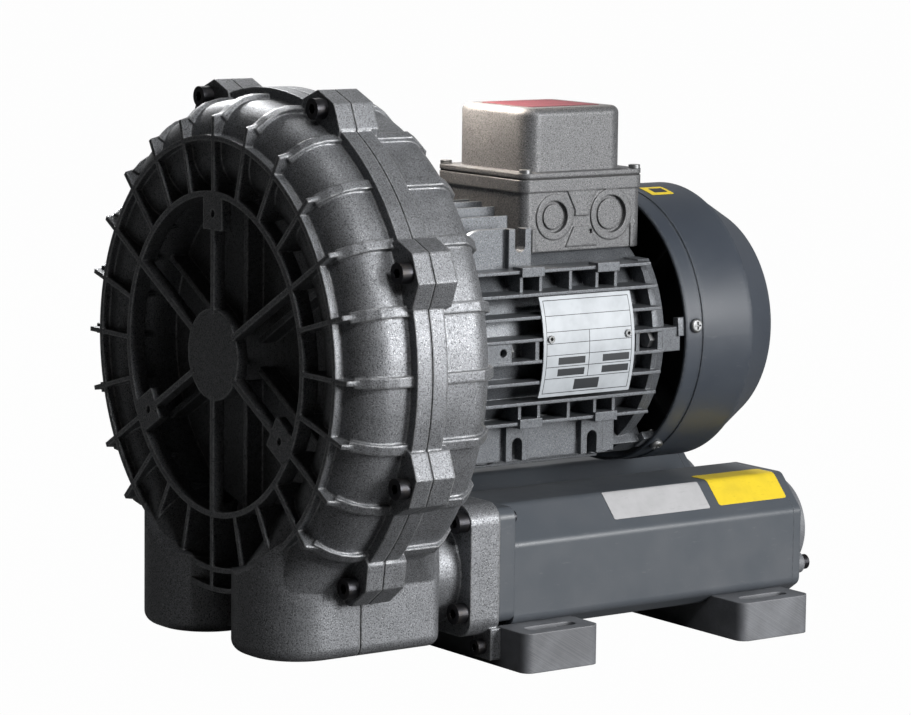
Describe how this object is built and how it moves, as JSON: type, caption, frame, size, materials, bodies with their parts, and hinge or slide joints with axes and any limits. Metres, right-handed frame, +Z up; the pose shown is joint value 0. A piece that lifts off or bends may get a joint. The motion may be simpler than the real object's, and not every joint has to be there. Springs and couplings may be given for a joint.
{
  "type": "side channel blower",
  "caption": "Side channel blower with a ribbed casting, bladed impeller, finned motor, terminal box, two silencers and two foot bars.",
  "frame": {"origin": "middle of the footprint, on the floor under the foot bars", "axes": "+Y runs along the motor shaft from the grille of the casting to the fan cowl, +Z up, +X to the right seen from the grille"},
  "size_m": [0.3324, 0.4262, 0.3635],
  "materials": {
    "casting_paint": "fine-grained dark grey paint over a sand casting",
    "motor_paint": "satin dark grey paint",
    "silencer_paint": "smooth satin blue-grey paint",
    "fitting_paint": "satin dark grey paint",
    "cowl_paint": "satin dark blue-grey paint",
    "box_paint": "fine-grained dark grey paint",
    "blackened_steel": "black oxide, satin",
    "zinc_steel": "bright zinc plate",
    "ground_steel": "ground bright",
    "bare_aluminium": "machined",
    "lamination_steel": "oiled sheet edges",
    "copper_wire": "varnished copper",
    "brass": "turned",
    "plate_metal": "satin, bare",
    "sealing_rubber": "matt",
    "gasket_sheet": "fibre sheet, matt",
    "black_plastic": "fine texture",
    "foam": "open-cell foam",
    "tube_steel": "bare perforated sheet"
  },
  "bodies": {
    "base": {"base_screws": "zinc_steel", "cap_screws": "blackened_steel", "cowl_screws": "zinc_steel", "end_windings": "copper_wire", "fan_cowl": "cowl_paint", "flange_bolts": "blackened_steel", "foot_bar_front": "fitting_paint", "foot_bar_rear": "fitting_paint", "foot_lug_screws": "blackened_steel", "foot_screws": "zinc_steel", "front_bearing_outer_ring": "ground_steel", "front_cover": "casting_paint", "housing_bolts": "blackened_steel", "joint_gasket": "gasket_sheet", "lid_gasket": "sealing_rubber", "lid_screws": "zinc_steel", "motor_bolts": "zinc_steel", "plate_rivets": "zinc_steel", "port_flange_left": "fitting_paint", "port_flange_right": "fitting_paint", "rating_plate": "plate_metal", "rear_bearing_outer_ring": "ground_steel", "rear_housing": "casting_paint", "rear_shield": "motor_paint", "shaft_seal": "sealing_rubber", "silencer_cap_left": "silencer_paint", "silencer_cap_right": "silencer_paint", "silencer_foam_left": "foam", "silencer_foam_right": "foam", "silencer_left": "silencer_paint", "silencer_right": "silencer_paint", "silencer_tube_left": "tube_steel", "silencer_tube_right": "tube_steel", "stator_core": "lamination_steel", "stator_frame": "motor_paint", "terminal_base": "box_paint", "terminal_block": "black_plastic", "terminal_lid": "box_paint", "terminal_studs": "brass", "wave_spring": "ground_steel"},
    "rotor": {"motor_shaft": "ground_steel", "rotor_core": "lamination_steel", "impeller": "bare_aluminium", "impeller_key": "ground_steel", "impeller_screw": "zinc_steel", "impeller_washer": "zinc_steel", "front_bearing_inner_ring": "ground_steel", "rear_bearing_inner_ring": "ground_steel", "cooling_fan": "black_plastic", "fan_clip": "ground_steel"},
    "front_cage": {"front_bearing_balls": "ground_steel"},
    "rear_cage": {"rear_bearing_balls": "ground_steel"}
  },
  "joints": [
    {"name": "impeller_spin", "type": "hinge", "parent": "base", "child": "rotor", "pos_m": [0, -0.15365, 0.1973], "axis": [0, 1, 0], "continuous": true},
    {"name": "front_cage_spin", "type": "hinge", "parent": "base", "child": "front_cage", "pos_m": [0, -0.08415, 0.1973], "axis": [0, 1, 0], "continuous": true},
    {"name": "rear_cage_spin", "type": "hinge", "parent": "base", "child": "rear_cage", "pos_m": [0, 0.08985, 0.1973], "axis": [0, 1, 0], "continuous": true}
  ],
  "couplings": [
    {"joint": "front_cage_spin", "follows": "impeller_spin", "ratio": 0.3987},
    {"joint": "rear_cage_spin", "follows": "impeller_spin", "ratio": 0.3987}
  ]
}
